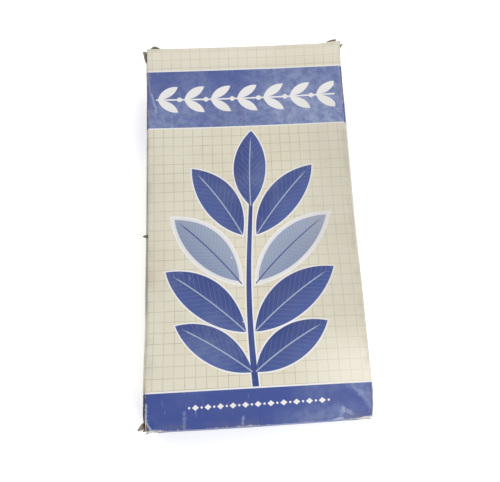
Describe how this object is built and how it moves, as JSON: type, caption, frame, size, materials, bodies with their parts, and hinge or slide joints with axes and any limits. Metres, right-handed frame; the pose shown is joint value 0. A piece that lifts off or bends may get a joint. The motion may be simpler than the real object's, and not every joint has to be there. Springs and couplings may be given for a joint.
{
  "type": "tuck-end folding carton",
  "caption": "Worn flat rectangular folding carton of printed boxboard, lying on its back, with a hinged lid, a tuck flap and dust flaps at each end.",
  "frame": {"origin": "middle of the back panel's outer face, on the surface that the carton lies on", "axes": "+Z from the back panel up to the printed front, +Y towards the top lid, +X to the right of the front"},
  "size_m": [0.1728, 0.3096, 0.0519],
  "materials": {
    "printed_board": "cream coated board with a blue print and a thin grid, satin varnish, scuffed",
    "printed_band": "coated board printed blue, satin varnish, scuffed",
    "board_back": "uncoated grey board back, matte"
  },
  "bodies": {
    "sleeve": {"sleeve": "printed_board", "glue_flap": "board_back"},
    "top_lid": {"top_lid": "printed_board"},
    "top_tuck": {"top_tuck": "printed_board"},
    "top_dust_left": {"top_dust_left": "board_back"},
    "top_dust_right": {"top_dust_right": "board_back"},
    "bottom_lid": {"bottom_lid": "printed_band"},
    "bottom_tuck": {"bottom_tuck": "printed_band"},
    "bottom_dust_left": {"bottom_dust_left": "board_back"},
    "bottom_dust_right": {"bottom_dust_right": "board_back"}
  },
  "joints": [
    {"name": "top_lid_hinge", "type": "hinge", "parent": "sleeve", "child": "top_lid", "pos_m": [0, 0.15415, 0.00065], "axis": [-1, 0, 0], "range_deg": [0, 90]},
    {"name": "top_tuck_hinge", "type": "hinge", "parent": "top_lid", "child": "top_tuck", "pos_m": [0, 0.154, 0.04895], "axis": [-1, 0, 0], "range_deg": [-45, 10]},
    {"name": "top_dust_left_hinge", "type": "hinge", "parent": "sleeve", "child": "top_dust_left", "pos_m": [-0.0807, 0.15345, 0.025], "axis": [0, 0, -1], "range_deg": [0, 80]},
    {"name": "top_dust_right_hinge", "type": "hinge", "parent": "sleeve", "child": "top_dust_right", "pos_m": [0.0807, 0.15345, 0.025], "axis": [0, 0, 1], "range_deg": [0, 80]},
    {"name": "bottom_lid_hinge", "type": "hinge", "parent": "sleeve", "child": "bottom_lid", "pos_m": [0, -0.15415, 0.04935], "axis": [-1, 0, 0], "range_deg": [0, 100]},
    {"name": "bottom_tuck_hinge", "type": "hinge", "parent": "bottom_lid", "child": "bottom_tuck", "pos_m": [0, -0.154, 0.00105], "axis": [-1, 0, 0], "range_deg": [-45, 5]},
    {"name": "bottom_dust_left_hinge", "type": "hinge", "parent": "sleeve", "child": "bottom_dust_left", "pos_m": [-0.0807, -0.15345, 0.025], "axis": [0, 0, 1], "range_deg": [0, 80]},
    {"name": "bottom_dust_right_hinge", "type": "hinge", "parent": "sleeve", "child": "bottom_dust_right", "pos_m": [0.0807, -0.15345, 0.025], "axis": [0, 0, -1], "range_deg": [0, 80]}
  ]
}
